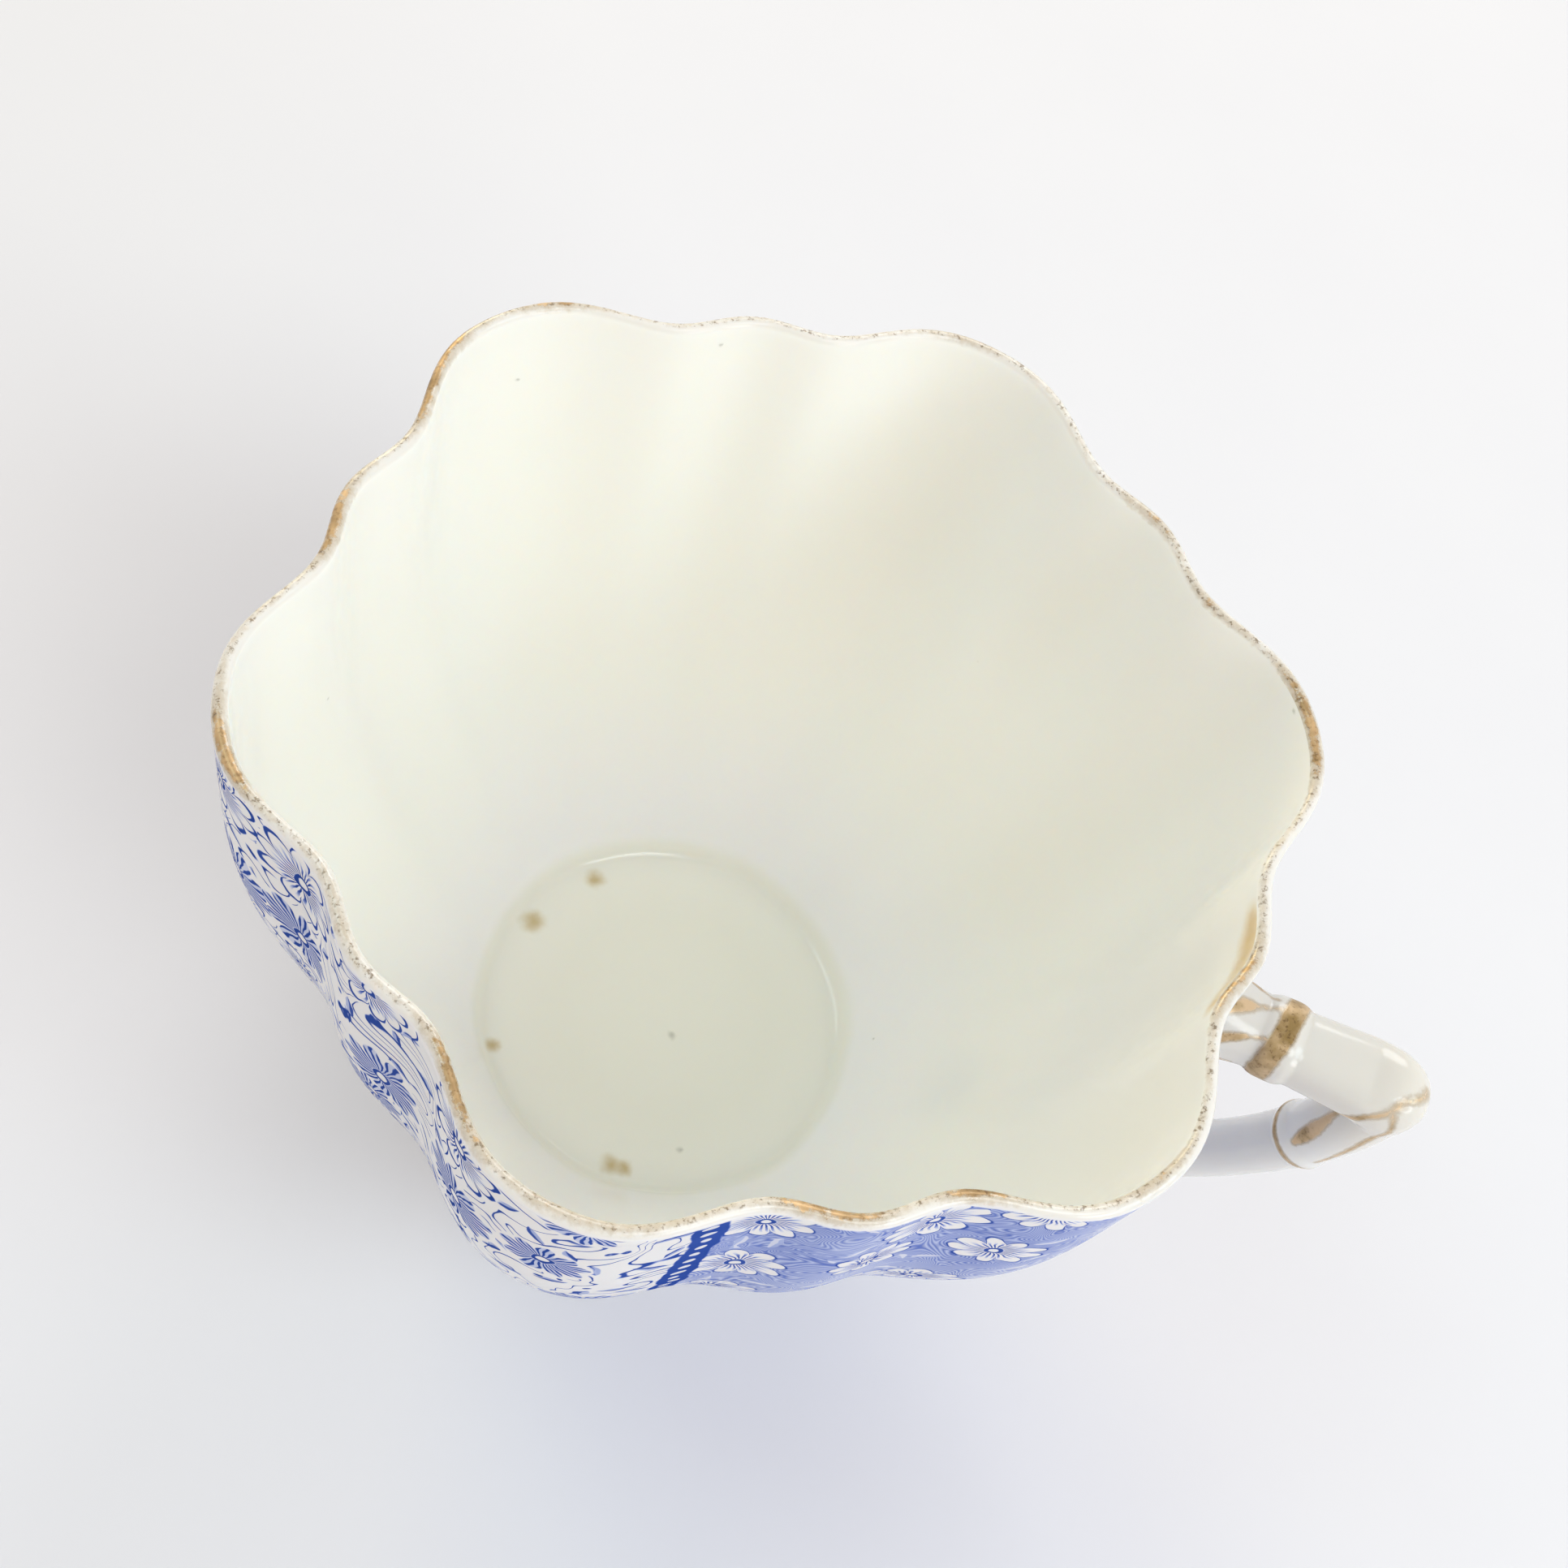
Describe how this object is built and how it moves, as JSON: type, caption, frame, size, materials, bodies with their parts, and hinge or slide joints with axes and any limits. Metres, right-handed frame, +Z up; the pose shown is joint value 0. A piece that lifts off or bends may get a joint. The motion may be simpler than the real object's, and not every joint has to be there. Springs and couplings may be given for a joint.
{
  "type": "teacup",
  "caption": "White bone china teacup: a lobed, fluted bowl on a round foot ring, with an angular twig handle, a blue printed outside and worn gilding.",
  "frame": {"origin": "centre of the foot ring's flat face, on the axis of the bowl", "axes": "+Z up along the bowl's axis, +X from the bowl towards the handle"},
  "size_m": [0.0956, 0.0852, 0.066],
  "materials": {
    "glazed_china": "clear gloss glaze over white bone china",
    "foot_china": "gloss glaze, wiped bare on the standing face",
    "slip_china": "sponged slip under gloss glaze"
  },
  "bodies": {
    "root": {"bowl": "glazed_china", "foot_ring": "foot_china", "handle": "glazed_china", "upper_slip_joint": "slip_china", "lower_slip_joint": "slip_china"}
  },
  "joints": []
}
